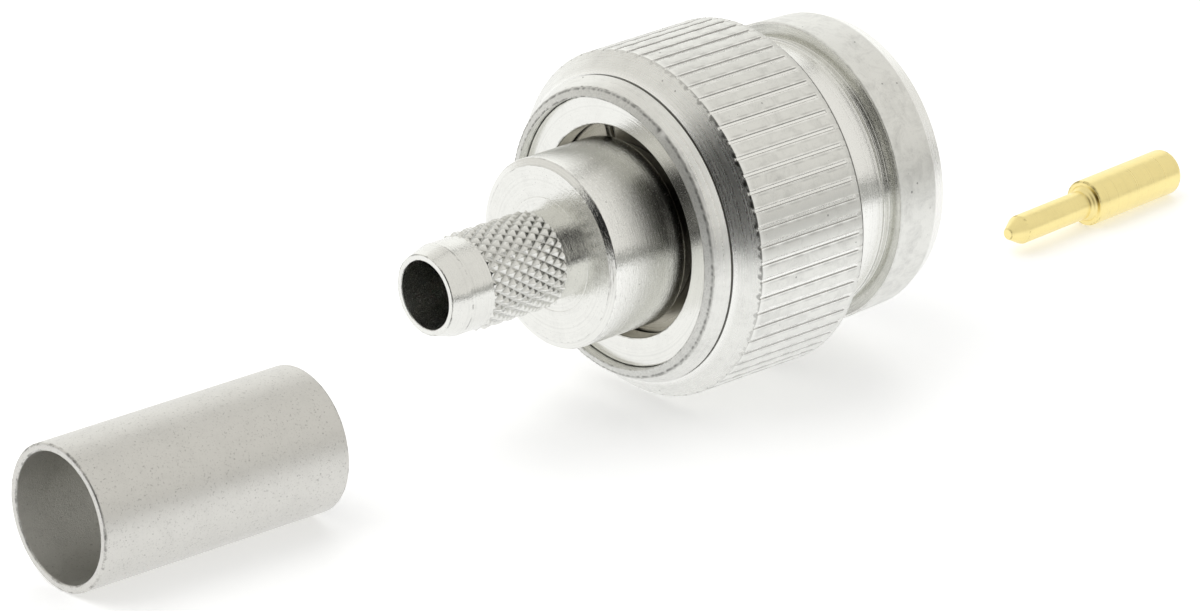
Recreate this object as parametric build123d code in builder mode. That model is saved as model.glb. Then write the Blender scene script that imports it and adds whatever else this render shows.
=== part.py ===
from build123d import *
from math import cos, pi, radians, sin, tan
import os

os.makedirs("parts", exist_ok=True)

# Straight crimp plug of a screw-coupled coaxial connector, as it comes out of its bag:
# the plug with its coupling nut, then the loose crimp ferrule and the loose centre contact.
# +X runs from the cable end to the mating end, +Z is up, and all three lie on the plane z = 0.
# Lengths are millimetres. Stations along the plug are measured from the rear edge of the nut's ribs.

# Mating sleeve, whose outside sets the widths of the shoulder, the thread and the nut round it
sleeve_d = 8.06
sleeve_wall = 0.58
sleeve_bead = 0.12
sleeve_bead_length = 0.5
sleeve_tip_taper = 0.1
sleeve_length = 6.5
sleeve_bore_depth = 5.35
slot_count = 6
slot_width = 0.4
slot_length = 4.6
tail_step = 0.46
tail_length = 3.05

# Insulator and gasket
insulator_flange_length = 0.7
insulator_ledge = 0.5
contact_web = 0.3
gasket_thickness = 1.0
gasket_width = 0.78

# Rear body and its crimp stem
stem_bore_d = 3.0
stem_mouth_rim = 0.26
stem_bevel = 0.9
stem_bevel_rise = 0.26
stem_smooth = 1.21
stem_knurl_length = 4.0
stem_knurl_rise = 0.11
stem_knurl_depth = 0.15
stem_knurl_count = 26
stem_knurl_slant = 36.0
stem_neck_step = 0.07
stem_neck_length = 0.75
body_length = 4.13
body_bevel = 0.32
body_bevel_length = 0.14
body_round = 0.45
land_step = 0.01
land_length = 0.75
ring_groove_depth = 0.27
barrel_step = 0.23
barrel_length = 2.93
shoulder_flange_length = 1.6

# Coupling nut, inside
thread_depth = 0.43
relief_depth = 0.095
relief_length = 2.0
shoulder_length = 1.0
ring_ledge = 0.77
washer_ledge = 0.52

# Coupling nut, outside
lip_wall = 0.44
lip_slope = 0.23
boss_rise = 0.38
boss_length = 0.98
bevel_rise = 0.87
bevel_length = 0.9
rib_count = 62
rib_length = 5.81
rib_depth = 0.11
groove_mouth = 0.22
groove_floor = 0.15
groove_stop = 0.2
collar_step = 0.36
collar_length = 0.22
neck_wall = 0.465
neck_length = 2.46
ridge_step = 0.1
ridge_length = 0.24
undercut_step = 0.04
undercut_length = 0.24
flange_step = 0.67
flange_taper = 0.09
flange_length = 2.16
nose_taper = 0.3
nose_length = 0.73

# Washer and split ring that hold the nut on the body
washer_recess = 0.49
washer_thickness = 0.9
washer_width = 1.26
ring_thickness = 0.8
ring_gap = 0.5
ring_gap_angle = 69.0

# Loose crimp ferrule
ferrule_d = 6.35
ferrule_wall = 0.355
ferrule_length = 12.6
ferrule_edge = 0.08

# Loose centre contact
contact_pin_d = 1.32
contact_pin_length = 5.2
contact_tip_d = 0.5
contact_tip_length = 0.75
contact_collar_step = 0.17
contact_collar_length = 0.3
contact_shoulder_step = 0.22
contact_shoulder_round = 0.16
contact_barrel_length = 5.65
contact_end_round = 0.25
wire_bore_d = 1.0
wire_bore_depth = 4.0

# Clearances
press_gap = 0.02
pin_hole_gap = 0.06
barrel_hole_gap = 0.07
nut_running_gap = 0.08
thread_flange_gap = 0.295
ring_side_play = 0.38
ring_end_play = 0.12
ring_front_play = 0.28
washer_body_gap = 0.51

# Where the loose pieces lie
ferrule_gap = 6.87
ferrule_side = -0.1
ferrule_turn = -1.4
contact_gap = 10.64
contact_side = 0.15
contact_turn = 4.0

# Diameters of the sleeve, the centre contact and what sits between them
sleeve_bore_d = sleeve_d - 2 * sleeve_wall
sleeve_bead_d = sleeve_d + 2 * sleeve_bead
sleeve_tip_d = sleeve_d - 2 * sleeve_tip_taper
tail_d = sleeve_d - 2 * tail_step
insulator_nose_d = sleeve_bore_d - 2 * insulator_ledge
contact_collar_d = contact_pin_d + 2 * contact_collar_step
contact_barrel_d = contact_collar_d + 2 * contact_shoulder_step
contact_hole_d = contact_barrel_d + 2 * barrel_hole_gap

# Diameters of the nut: it turns on the barrel, and its thread clears the shoulder flange
shoulder_flange_d = sleeve_d + 2 * (press_gap + gasket_width)
barrel_d = shoulder_flange_d - 2 * barrel_step
shoulder_d = barrel_d + 2 * nut_running_gap
chamber_d = shoulder_d + 2 * ring_ledge
lip_bore_d = chamber_d + 2 * washer_ledge
lip_d = lip_bore_d + 2 * lip_wall
boss_d = lip_d + 2 * boss_rise
crest_d = boss_d + 2 * bevel_rise
collar_d = crest_d - 2 * collar_step
thread_minor_d = shoulder_flange_d + 2 * thread_flange_gap
thread_major_d = thread_minor_d + 2 * thread_depth
relief_d = thread_major_d + 2 * relief_depth
neck_d = thread_major_d + 2 * neck_wall
ridge_d = neck_d + 2 * ridge_step
undercut_d = neck_d - 2 * undercut_step
flange_d = neck_d + 2 * flange_step
flange_front_d = flange_d - 2 * flange_taper
nose_d = flange_front_d - 2 * nose_taper

# Diameters of the rear body, which passes through the washer, and of its stem
washer_d = lip_bore_d - 2 * press_gap
washer_bore_d = washer_d - 2 * washer_width
body_d = washer_bore_d - 2 * washer_body_gap
land_d = body_d - 2 * (body_round + land_step)
ring_groove_d = land_d - 2 * ring_groove_depth
stem_mouth_d = stem_bore_d + 2 * stem_mouth_rim
stem_d = stem_mouth_d + 2 * stem_bevel_rise
stem_knurl_d = stem_d + 2 * stem_knurl_rise
stem_neck_d = stem_d - 2 * stem_neck_step

# Diameters of the split ring and the ferrule
ring_d = chamber_d - 2 * ring_side_play
ring_bore_d = ring_groove_d + 2 * press_gap
ferrule_bore_d = ferrule_d - 2 * ferrule_wall

# Stations of the nut
at_boss = -bevel_length
at_lip = at_boss - boss_length
at_collar = rib_length
at_neck = at_collar + collar_length
at_ridge = at_neck + neck_length
at_undercut = at_ridge + ridge_length
at_flange = at_undercut + undercut_length
at_nose = at_flange + flange_length
at_nut_front = at_nose + nose_length

# Stations of the washer, the split ring and the nut's chamber round them
at_washer = at_lip + washer_recess
at_chamber = at_washer + washer_thickness
at_ring = at_chamber + ring_end_play
at_ring_front = at_ring + ring_thickness
at_shoulder = at_ring_front + ring_front_play
at_relief = at_shoulder + shoulder_length
at_thread = at_relief + relief_length

# Stations of the rear body, which the split ring ties to the nut
at_groove = at_ring - press_gap
at_groove_front = at_ring_front + press_gap
at_body_front = at_groove - land_length
at_body_rear = at_body_front - body_length
at_stem_neck = at_body_rear - stem_neck_length
at_stem_knurl = at_stem_neck - stem_knurl_length
at_stem_smooth = at_stem_knurl - stem_smooth
at_mouth = at_stem_smooth - stem_bevel
at_shoulder_flange = at_groove_front + barrel_length
at_front_face = at_shoulder_flange + shoulder_flange_length

# Stations of what the rear body carries
at_tail = at_front_face - tail_length
at_sleeve_front = at_front_face + sleeve_length
at_cup = at_sleeve_front - sleeve_bore_depth
at_insulator = at_tail - insulator_flange_length

# The three groups lie in one line, and the origin is under the middle of their whole length
axis_height = crest_d / 2
ferrule_front = at_mouth - ferrule_gap
ferrule_sin = abs(sin(radians(ferrule_turn)))
ferrule_rear = ferrule_front - ferrule_length * cos(radians(ferrule_turn)) - ferrule_d / 2 * ferrule_sin
contact_tip = at_nut_front + contact_gap
contact_length = contact_pin_length + contact_barrel_length
contact_sin = abs(sin(radians(contact_turn)))
contact_rear = contact_tip + contact_length * cos(radians(contact_turn)) + contact_barrel_d / 2 * contact_sin
plug_x = -(ferrule_rear + contact_rear) / 2


def lying_plane(x, y, height, turn):
    """Upright plane through a lying piece's axis: its x runs along the axis, its y points up."""
    along = (cos(radians(turn)), sin(radians(turn)), 0)
    side = (sin(radians(turn)), -cos(radians(turn)), 0)
    return Plane(origin=(x, y, height), x_dir=along, z_dir=side)


def plug_section(station):
    """Plane square to the plug's axis at a station, facing the mating end."""
    return Plane(origin=(plug_x + station, 0, axis_height), x_dir=(0, 1, 0), z_dir=(1, 0, 0))


def knurl_point(step, row):
    """Corner of the stem's diamond knurl: low where two grooves cross, high in the middle of a diamond."""
    high = (step + row) % 2
    radius = stem_knurl_d / 2 - (0 if high else stem_knurl_depth)
    angle = pi * step / stem_knurl_count
    station = at_stem_knurl + stem_knurl_length * row / knurl_rows
    return Vector(plug_x + station, radius * sin(angle), axis_height + radius * cos(angle))


plug_plane = lying_plane(plug_x, 0, axis_height, 0)
plug_axis = Axis(plug_plane.origin, plug_plane.x_dir)

# Diamond knurl of the crimp stem: two families of grooves at opposite slants leave four-sided points.
# Each small field between neighbouring corners is two flats that meet along the bottom of a groove.
half_pitch = pi * stem_knurl_d / stem_knurl_count / 2
knurl_rows = round(stem_knurl_length / (half_pitch / tan(radians(stem_knurl_slant))))
knurl_steps = 2 * stem_knurl_count
knurl_flats = []
for row in range(knurl_rows):
    for step in range(knurl_steps):
        corners = [
            knurl_point(step, row),
            knurl_point(step + 1, row),
            knurl_point(step + 1, row + 1),
            knurl_point(step, row + 1),
        ]
        first = (step + row) % 2
        low, side, opposite, other_side = corners[first:] + corners[:first]
        for flat in ((low, side, opposite), (low, opposite, other_side)):
            knurl_flats.append(Face(Wire.make_polygon(flat, close=True)))
for row in (0, knurl_rows):
    rim = [knurl_point(step, row) for step in range(knurl_steps)]
    knurl_flats.append(Face(Wire.make_polygon(rim, close=True)))
diamond_band = Solid(Shell(knurl_flats))

# Coupling nut: turned blank, then the straight grooves between its ribs, which run out on the bevel
# and stop just behind the collar
with BuildPart() as coupling_nut:
    with BuildSketch(plug_plane) as nut_profile:
        with BuildLine():
            Polyline(
                (at_lip, lip_bore_d / 2),
                (at_lip + lip_slope, lip_d / 2),
                (at_boss, boss_d / 2),
                (0, crest_d / 2),
                (at_collar, crest_d / 2),
                (at_collar, collar_d / 2),
                (at_neck, collar_d / 2),
                (at_neck, neck_d / 2),
                (at_ridge, neck_d / 2),
                (at_ridge, ridge_d / 2),
                (at_undercut, ridge_d / 2),
                (at_undercut, undercut_d / 2),
                (at_flange, undercut_d / 2),
                (at_flange, flange_d / 2),
                (at_nose, flange_front_d / 2),
                (at_nut_front, nose_d / 2),
                (at_nut_front, thread_major_d / 2),
                (at_nut_front - thread_depth, thread_minor_d / 2),
                (at_thread, thread_minor_d / 2),
                (at_thread, relief_d / 2),
                (at_relief, relief_d / 2),
                (at_relief, shoulder_d / 2),
                (at_shoulder, shoulder_d / 2),
                (at_shoulder, chamber_d / 2),
                (at_chamber, chamber_d / 2),
                (at_chamber, lip_bore_d / 2),
                close=True,
            )
        make_face()
    revolve(axis=plug_axis)
    with BuildSketch(plug_section(at_boss)):
        with PolarLocations(crest_d / 2, rib_count):
            Polygon(
                (-rib_depth, -groove_floor / 2),
                (0, -groove_mouth / 2),
                (rib_depth, -groove_mouth),
                (rib_depth, groove_mouth),
                (0, groove_mouth / 2),
                (-rib_depth, groove_floor / 2),
                align=None,
            )
    extrude(amount=at_collar - groove_stop - at_boss, mode=Mode.SUBTRACT)
coupling_nut.part.label = "coupling_nut"

# Flat washer, pressed into the nut behind the split ring
with BuildPart() as retaining_washer:
    with BuildSketch(plug_section(at_washer)):
        Circle(washer_d / 2)
        Circle(washer_bore_d / 2, mode=Mode.SUBTRACT)
    extrude(amount=washer_thickness)
retaining_washer.part.label = "retaining_washer"

# Split ring in the body's groove
with BuildPart() as snap_ring:
    with BuildSketch(plug_section(at_ring)):
        Circle(ring_d / 2)
        Circle(ring_bore_d / 2, mode=Mode.SUBTRACT)
        with Locations(Rotation(0, 0, ring_gap_angle)):
            Rectangle(ring_d, ring_gap, align=(Align.MIN, Align.CENTER), mode=Mode.SUBTRACT)
    extrude(amount=ring_thickness)
snap_ring.part.label = "snap_ring"

# Rear body: crimp stem, round body, groove for the split ring and the seat of the outer contact
with BuildPart() as plug_body:
    with BuildSketch(plug_plane) as body_profile:
        with BuildLine():
            Polyline(
                (at_mouth, stem_bore_d / 2),
                (at_mouth, stem_mouth_d / 2),
                (at_stem_smooth, stem_d / 2),
                (at_stem_knurl, stem_d / 2),
                (at_stem_knurl, stem_neck_d / 2),
                (at_body_rear, stem_neck_d / 2),
                (at_body_rear, body_d / 2 - body_bevel),
                (at_body_rear + body_bevel_length, body_d / 2),
                (at_body_front, body_d / 2),
                (at_body_front, land_d / 2),
                (at_groove, land_d / 2),
                (at_groove, ring_groove_d / 2),
                (at_groove_front, ring_groove_d / 2),
                (at_groove_front, barrel_d / 2),
                (at_shoulder_flange, barrel_d / 2),
                (at_shoulder_flange, shoulder_flange_d / 2),
                (at_front_face, shoulder_flange_d / 2),
                (at_front_face, tail_d / 2 + press_gap),
                (at_insulator, tail_d / 2 + press_gap),
                (at_insulator, stem_bore_d / 2),
                close=True,
            )
        make_face()
        front_corner = body_profile.vertices().sort_by_distance((at_body_front, body_d / 2, 0))[0]
        fillet(front_corner, radius=body_round)
    revolve(axis=plug_axis)
    add(diamond_band)
    with BuildSketch(plug_section(at_mouth)):
        Circle(stem_bore_d / 2)
    extrude(amount=at_insulator - at_mouth, mode=Mode.SUBTRACT)
plug_body.part.label = "plug_body"

# Outer contact: slotted sleeve with a bead at its tips, its tail pressed into the rear body
with BuildPart() as outer_contact:
    with BuildSketch(plug_plane):
        with BuildLine():
            Polyline(
                (at_tail, insulator_nose_d / 2 + press_gap),
                (at_tail, tail_d / 2),
                (at_front_face, tail_d / 2),
                (at_front_face, sleeve_d / 2),
                (at_sleeve_front - 2 * sleeve_bead_length, sleeve_d / 2),
                (at_sleeve_front - sleeve_bead_length, sleeve_bead_d / 2),
                (at_sleeve_front, sleeve_tip_d / 2),
                (at_sleeve_front, sleeve_bore_d / 2),
                (at_cup, sleeve_bore_d / 2),
                (at_cup, insulator_nose_d / 2 + press_gap),
                close=True,
            )
        make_face()
    revolve(axis=plug_axis)
    with BuildSketch(plug_section(at_sleeve_front - slot_length)):
        with PolarLocations(sleeve_d / 2, slot_count):
            Rectangle(2 * sleeve_wall, slot_width)
    extrude(amount=slot_length, mode=Mode.SUBTRACT)
outer_contact.part.label = "outer_contact"

# Insulator, held by its flange between the rear body and the outer contact's tail
with BuildPart() as insulator:
    with BuildSketch(plug_plane):
        with BuildLine():
            Polyline(
                (at_insulator, contact_hole_d / 2),
                (at_insulator, tail_d / 2),
                (at_tail, tail_d / 2),
                (at_tail, insulator_nose_d / 2),
                (at_cup, insulator_nose_d / 2),
                (at_cup, contact_pin_d / 2 + pin_hole_gap),
                (at_cup - contact_web, contact_pin_d / 2 + pin_hole_gap),
                (at_cup - contact_web, contact_hole_d / 2),
                close=True,
            )
        make_face()
    revolve(axis=plug_axis)
insulator.part.label = "insulator"

# Sealing gasket round the foot of the sleeve
with BuildPart() as gasket:
    with BuildSketch(plug_section(at_front_face)):
        Circle(shoulder_flange_d / 2)
        Circle(sleeve_d / 2 + press_gap, mode=Mode.SUBTRACT)
    extrude(amount=gasket_thickness)
gasket.part.label = "gasket"

# Loose crimp ferrule: thin plain tube with eased rims
ferrule_plane = lying_plane(plug_x + ferrule_front, ferrule_side, ferrule_d / 2, ferrule_turn)
with BuildPart() as crimp_ferrule:
    with BuildSketch(ferrule_plane):
        with Locations((-ferrule_length, ferrule_bore_d / 2)):
            Rectangle(ferrule_length, ferrule_wall, align=(Align.MIN, Align.MIN))
    revolve(axis=Axis(ferrule_plane.origin, ferrule_plane.x_dir))
    chamfer(crimp_ferrule.edges().filter_by(GeomType.CIRCLE), length=ferrule_edge)
crimp_ferrule.part.label = "crimp_ferrule"

# Loose centre contact: pin with a blunt tip, shoulder, and crimp barrel bored for the wire
contact_plane = lying_plane(plug_x + contact_tip, contact_side, contact_barrel_d / 2, contact_turn)
with BuildPart() as centre_contact:
    with BuildSketch(contact_plane) as contact_profile:
        with BuildLine():
            Polyline(
                (0, 0),
                (0, contact_tip_d / 2),
                (contact_tip_length, contact_pin_d / 2),
                (contact_pin_length - contact_collar_length, contact_pin_d / 2),
                (contact_pin_length, contact_collar_d / 2),
                (contact_pin_length, contact_barrel_d / 2),
                (contact_length, contact_barrel_d / 2),
                (contact_length, wire_bore_d / 2),
                (contact_length - wire_bore_depth, wire_bore_d / 2),
                (contact_length - wire_bore_depth - wire_bore_d / 4, 0),
                close=True,
            )
        make_face()
        corners = contact_profile.vertices()
        shoulder_corner = corners.sort_by_distance((contact_pin_length, contact_barrel_d / 2, 0))[0]
        end_corner = corners.sort_by_distance((contact_length, contact_barrel_d / 2, 0))[0]
        fillet(shoulder_corner, radius=contact_shoulder_round)
        fillet(end_corner, radius=contact_end_round)
    revolve(axis=Axis(contact_plane.origin, contact_plane.x_dir))
centre_contact.part.label = "centre_contact"

pieces = [
    coupling_nut,
    retaining_washer,
    snap_ring,
    plug_body,
    outer_contact,
    insulator,
    gasket,
    crimp_ferrule,
    centre_contact,
]
for piece in pieces:
    export_step(piece.part, f"parts/{piece.part.label}.step")
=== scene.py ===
"""Crimp plug of a screw-coupled coaxial connector, with its loose ferrule and centre contact.

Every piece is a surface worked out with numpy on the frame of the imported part. The work is done in
millimetres, and Blender gets metres. A profile is a list of corners, each a station along the piece's
axis, a radius and how far the corner is rounded. The plug's stations count from the nut's rear end, and
its angles from straight up, so that they are negative on the camera's side.
"""

from functools import reduce
from types import SimpleNamespace

import bpy
import numpy as np
from bpy.props import FloatProperty, FloatVectorProperty, IntProperty, PointerProperty
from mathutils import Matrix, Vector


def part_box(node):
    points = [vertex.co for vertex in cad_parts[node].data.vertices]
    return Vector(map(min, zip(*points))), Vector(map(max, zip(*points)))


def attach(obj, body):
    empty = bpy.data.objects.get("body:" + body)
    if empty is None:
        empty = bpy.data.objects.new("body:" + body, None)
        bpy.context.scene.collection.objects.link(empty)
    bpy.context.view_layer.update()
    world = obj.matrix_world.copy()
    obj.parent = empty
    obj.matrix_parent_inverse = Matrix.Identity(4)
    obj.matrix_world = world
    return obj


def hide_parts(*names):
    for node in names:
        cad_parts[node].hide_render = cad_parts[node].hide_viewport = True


bl_info = {
    "name": "Crimp plug builder",
    "version": (1, 0, 0),
    "blender": (4, 5, 0),
    "location": "3D View > Sidebar > Plug",
    "description": "Builds a coaxial crimp plug, its ferrule and its centre contact as turned surfaces",
    "category": "Add Mesh",
}

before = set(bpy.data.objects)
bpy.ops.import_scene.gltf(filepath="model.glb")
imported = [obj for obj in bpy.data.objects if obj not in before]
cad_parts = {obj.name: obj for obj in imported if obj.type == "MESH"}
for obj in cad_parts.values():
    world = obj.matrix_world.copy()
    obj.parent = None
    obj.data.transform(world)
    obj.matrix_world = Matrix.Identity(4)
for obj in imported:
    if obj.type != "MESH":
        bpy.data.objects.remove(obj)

MM = 0.001
TURN = 2 * np.pi
FAR = np.inf
FIT_GAP = 0.02  # between pieces that are pressed together
CREST_DROP = 0.012  # how far the drawn crests stay inside the solid's
BAND_DEPTH = 0.2  # from the boss down to the core under the ribbed band
RELIEF, DEPTH = 0.35, 0.00004  # strength of the metal's relief, and its depth in metres
HOLD = 0.03  # how far from a rounded corner the row lies that keeps the flat beside it
MOST_HOLD, MOST_ROUND = 0.06, 0.42  # the same and the round itself, as shares of the shorter side
# How many points lie round each kind of piece
NUT_COLUMNS, BODY_COLUMNS, PLAIN_COLUMNS, HIDDEN_COLUMNS, CONTACT_COLUMNS = 400, 256, 192, 160, 96
RING_COLUMNS, FINGER_COLUMNS = 180, 28


def extent(node):
    """Lowest and highest corner of a CAD node in millimetres, as two arrays."""
    low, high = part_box(node)
    return np.array(low) / MM, np.array(high) / MM


nut_low, nut_high = extent("coupling_nut")


def stations(node):
    """Where a CAD node of the plug starts and ends along the plug's axis."""
    low, high = extent(node)
    return low[0] - nut_low[0], high[0] - nut_low[0]


def outer_radius(node):
    """Radius of a CAD node that is round about the plug's axis, from its height."""
    low, high = extent(node)
    return (high[2] - low[2]) / 2


axis_height = (nut_low[2] + nut_high[2]) / 2
crest_radius = outer_radius("coupling_nut")
flange_radius = outer_radius("plug_body")
tail_radius = outer_radius("insulator")


# Settings a user would change


def length(name, description, default):
    """A length whose default is given in millimetres, shown to a hundredth of one."""
    return FloatProperty(
        name=name, description=description, default=default * MM, unit="LENGTH", precision=5
    )


def bearing(name, description, default):
    """An angle whose default is given in degrees."""
    return FloatProperty(name=name, description=description, default=np.radians(default), subtype="ANGLE")


def count(name, description, default, least):
    """How many of something there are."""
    return IntProperty(name=name, description=description, default=default, min=least)


def colour(name, description, default):
    """A colour without alpha."""
    return FloatVectorProperty(
        name=name, description=description, default=default, size=3, subtype="COLOR", min=0, max=1
    )


class NutSizes(bpy.types.PropertyGroup):
    lip_length: length("Lip length", "Rear lip and boss ahead of the bevel", 0.98)
    lip_slope: length("Lip slope", "How far the lip's rear face is coned", 0.23)
    lip_bore: length("Lip bore", "Radius of the bore the washer sits in", 5.97)
    lip_radius: length("Lip radius", "Outer radius of the rear lip", 6.41)
    boss_radius: length("Boss radius", "Radius at the foot of the bevel", 6.79)
    bevel_length: length("Bevel length", "Length of the bevel up to the ribs", 0.9)
    rib_count: count("Rib count", "Straight ribs round the nut", 62, 12)
    rib_length: length("Rib length", "Length of the ribs on the full radius", 5.81)
    rib_depth: length("Rib depth", "Depth of the grooves between the ribs", 0.07)
    groove_mouth: length("Groove mouth", "Width of a groove at the crest", 0.19)
    groove_floor: length("Groove floor", "Width of a groove at its floor", 0.11)
    groove_stop: length("Groove stop", "How far behind the collar the grooves end", 0.2)
    crest_dome: length("Crest dome", "How far a crest falls towards its grooves", 0.03)
    collar_radius: length("Collar radius", "Smooth collar in front of the ribs", 7.45)
    collar_length: length("Collar length", "Length of the smooth collar", 0.22)
    neck_radius: length("Neck radius", "Neck behind the front flange", 6.02)
    neck_length: length("Neck length", "Length of the neck", 2.46)
    ridge_rise: length("Ridge rise", "Height of the small ridge on the neck", 0.1)
    ridge_length: length("Ridge length", "Length of the ridge, and of the undercut after it", 0.24)
    undercut_radius: length("Undercut radius", "Groove behind the front flange", 5.98)
    flange_radius: length("Flange radius", "Rear edge of the front flange", 6.69)
    flange_front: length("Flange front radius", "Front edge of the front flange", 6.6)
    flange_length: length("Flange length", "Length of the front flange", 2.16)
    nose_radius: length("Nose radius", "Radius of the nut's front rim", 6.3)
    chamber_radius: length("Chamber radius", "Chamber round the split ring", 5.45)
    shoulder_radius: length("Shoulder radius", "Shoulder bore that turns on the body", 4.68)
    shoulder_start: length("Shoulder start", "Shoulder's rear face, from the rear edge of the ribs", 0.71)
    shoulder_length: length("Shoulder length", "Length of the shoulder bore", 1.0)
    relief_radius: length("Relief radius", "Thread relief behind the thread", 5.65)
    relief_length: length("Relief length", "Length of the thread relief", 2.0)
    thread_minor: length("Thread minor radius", "Radius over the crests of the inner thread", 5.125)
    thread_major: length("Thread major radius", "Radius at the roots of the inner thread", 5.555)
    thread_pitch: length("Thread pitch", "Advance of the thread in one turn", 0.907)


class BodySizes(bpy.types.PropertyGroup):
    bore_radius: length("Stem bore", "Radius of the cable's bore", 1.5)
    mouth_radius: length("Mouth radius", "Outer radius of the stem's mouth", 1.76)
    mouth_bevel: length("Mouth bevel", "Length of the bevel at the mouth", 0.9)
    stem_radius: length("Stem radius", "Radius of the smooth band", 2.02)
    smooth_length: length("Smooth length", "Length of the smooth band", 1.21)
    knurl_radius: length("Knurl radius", "Radius over the diamonds", 2.13)
    knurl_length: length("Knurl length", "Length of the diamond knurl", 4.0)
    knurl_depth: length("Knurl depth", "Depth of the knurl's grooves", 0.15)
    knurl_count: count("Knurl count", "Grooves of each slant round the stem", 26, 8)
    knurl_rows: count("Knurl rows", "Half diamonds along the stem", 11, 2)
    neck_radius: length("Neck radius", "Plain neck between the knurl and the body", 1.95)
    neck_length: length("Neck length", "Length of the neck", 0.75)
    body_radius: length("Body radius", "Radius of the rear body", 4.18)
    body_length: length("Body length", "Length of the rear body", 4.13)
    body_bevel: length("Body bevel", "Width of the bevel round the rear face", 0.32)
    body_bevel_length: length("Body bevel length", "Length of that bevel", 0.14)
    tool_mark: length("Tool mark", "Radius of the fine circle on the rear face", 2.5)
    body_round: length("Body round", "Round at the body's front edge", 0.28)
    land_radius: length("Land radius", "Land behind the split ring", 3.72)
    land_length: length("Land length", "Length of the land", 0.75)
    groove_radius: length("Ring groove radius", "Floor of the split ring's groove", 3.45)
    groove_length: length("Ring groove length", "Length of that groove", 0.84)
    barrel_radius: length("Barrel radius", "Barrel that the nut turns on", 4.6)
    barrel_length: length("Barrel length", "Length of the barrel", 2.93)


class MatingSizes(bpy.types.PropertyGroup):
    ring_bore: length("Ring bore", "Inner radius of the split ring", 3.47)
    ring_radius: length("Ring radius", "Outer radius of the split ring", 5.07)
    ring_gap: length("Ring gap", "Width of the split in the ring", 0.5)
    ring_gap_angle: bearing(
        "Ring gap angle", "Where the split lies, from straight up towards the far side", 21
    )
    washer_bore: length("Washer bore", "Radius of the washer's hole", 4.69)
    sleeve_radius: length("Sleeve radius", "Outer radius of the slotted sleeve", 4.03)
    sleeve_bore: length("Sleeve bore", "Bore of the sleeve", 3.45)
    sleeve_tip: length("Sleeve tip", "Outer radius at the tips", 3.93)
    bead_length: length("Bead length", "Length of the bead at the tips", 0.5)
    cup_depth: length("Cup depth", "Depth of the sleeve's bore", 5.35)
    slot_count: count("Slot count", "Slots between the sleeve's fingers", 6, 2)
    slot_width: length("Slot width", "Width of one slot", 0.4)
    slot_length: length("Slot length", "Length of one slot", 4.6)
    nose_radius: length("Insulator nose", "Radius of the insulator inside the sleeve", 2.95)
    contact_hole: length("Contact hole", "Hole for the contact's barrel", 1.12)
    pin_hole: length("Pin hole", "Hole for the contact's pin", 0.72)
    hole_web: length("Hole web", "Wall round the pin hole", 0.3)


class LooseSizes(bpy.types.PropertyGroup):
    ferrule_wall: length("Ferrule wall", "Wall of the crimp ferrule", 0.355)
    ferrule_length: length("Ferrule length", "Length of the crimp ferrule", 12.6)
    ferrule_turn: bearing("Ferrule turn", "How far the ferrule lies from the plug's line", -1.4)
    pin_radius: length("Pin radius", "Radius of the contact's pin", 0.66)
    pin_length: length("Pin length", "Length of the pin with its tip", 5.2)
    tip_radius: length("Tip radius", "Radius of the pin's blunt end", 0.25)
    tip_length: length("Tip length", "Length of the pin's cone", 0.75)
    collar_radius: length("Collar radius", "Small cone against the shoulder", 0.83)
    collar_length: length("Collar length", "Length of that cone", 0.3)
    barrel_radius: length("Barrel radius", "Radius of the crimp barrel", 1.05)
    barrel_length: length("Barrel length", "Length of the crimp barrel", 5.65)
    wire_bore: length("Wire bore", "Radius of the bore for the wire", 0.5)
    wire_depth: length("Wire depth", "Depth of that bore", 4.0)
    contact_turn: bearing("Contact turn", "How far the contact lies from the plug's line", 4)


class Finishes(bpy.types.PropertyGroup):
    nickel: colour("Nickel", "Satin nickel of the nut, washer and body", (0.83, 0.83, 0.795))
    # The light that the polish mark mixes in, which is mostly painted highlight
    polished_and_highlight: colour("Polished edge", "Bare bright metal on rolled edges", (0.97, 0.97, 0.94))
    # Also the dark that the groove mark mixes in, which is mostly painted shade in recesses and on shaded
    # sides
    tarnish_and_shade: colour("Tarnish", "Darker film in grooves and specks", (0.035, 0.032, 0.027))
    ferrule_nickel: colour("Ferrule nickel", "Matte nickel of the ferrule", (0.70, 0.69, 0.655))
    bronze: colour("Bronze", "Dull spring bronze of the split ring", (0.42, 0.40, 0.34))
    gold: colour("Gold", "Pale gold of the centre contact", (1.0, 0.85, 0.39))
    # Also the dark of the painted shade rings on the contact's camera side
    gold_stain_and_shade: colour("Gold stain", "Dark rings on the centre contact", (0.16, 0.10, 0.02))
    insulator: colour("Insulator", "White insulator", (0.86, 0.86, 0.84))
    rubber: colour("Rubber", "Sealing gasket", (0.045, 0.045, 0.045))
    floor: colour("Floor", "Pale floor", (0.90, 0.90, 0.89))


class StudioSettings(bpy.types.PropertyGroup):
    camera_place: FloatVectorProperty(
        name="Camera place",
        description="Where the camera stands",
        default=(-0.214078, -0.23403, 0.133432),
        unit="LENGTH",
    )
    camera_down: bearing("Camera tilt", "How far it looks down", 22.255)
    camera_heading: bearing("Camera heading", "Where it looks, from +X", 47.976)
    lens: FloatProperty(
        name="Lens", description="Focal length in millimetres on a 36 mm sensor", default=240, min=10
    )
    sky: FloatProperty(
        name="Sky strength", description="Level of the light from all round", default=0.62, min=0
    )
    reflected_sky: FloatProperty(
        name="Reflected sky", description="Level that the metal shows of it", default=0.83, min=0
    )
    floor_width: length("Floor width", "Side of the square floor", 6000)


def in_millimetres(group):
    """The numbers of a settings group by name, with its lengths in millimetres."""
    values = {}
    for key, kind in group.bl_rna.properties.items():
        if kind.type in ("FLOAT", "INT"):
            values[key] = getattr(group, key) / MM if kind.unit == "LENGTH" else getattr(group, key)
    return SimpleNamespace(**values)


# Surfaces


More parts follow.
